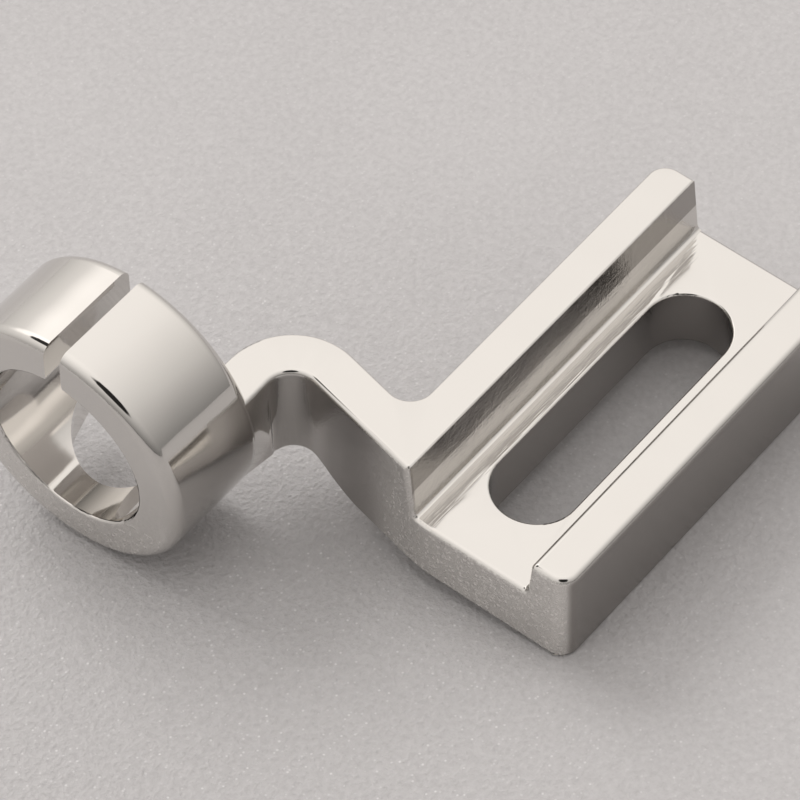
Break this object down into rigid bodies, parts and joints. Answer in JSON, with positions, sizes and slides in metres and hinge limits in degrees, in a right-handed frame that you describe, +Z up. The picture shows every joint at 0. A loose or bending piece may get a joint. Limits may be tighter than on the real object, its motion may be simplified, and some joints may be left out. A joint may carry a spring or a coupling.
{
  "type": "sewing machine presser foot",
  "caption": "One-piece plated presser foot: a split collar for the presser bar, a bent arm and a channelled block with an oblong slot.",
  "frame": {"origin": "middle of the collar's bore, on its axis and halfway along the collar", "axes": "X across the block, from the collar to the block; Y along the bore and the slot, away from the collar's front face; Z up, square to the channel floor, on the open side of the channel"},
  "size_m": [0.0323, 0.0306, 0.0144],
  "materials": {
    "plating": "bright nickel plating, mirror polished"
  },
  "bodies": {
    "root": {"presser_foot": "plating"}
  },
  "joints": []
}
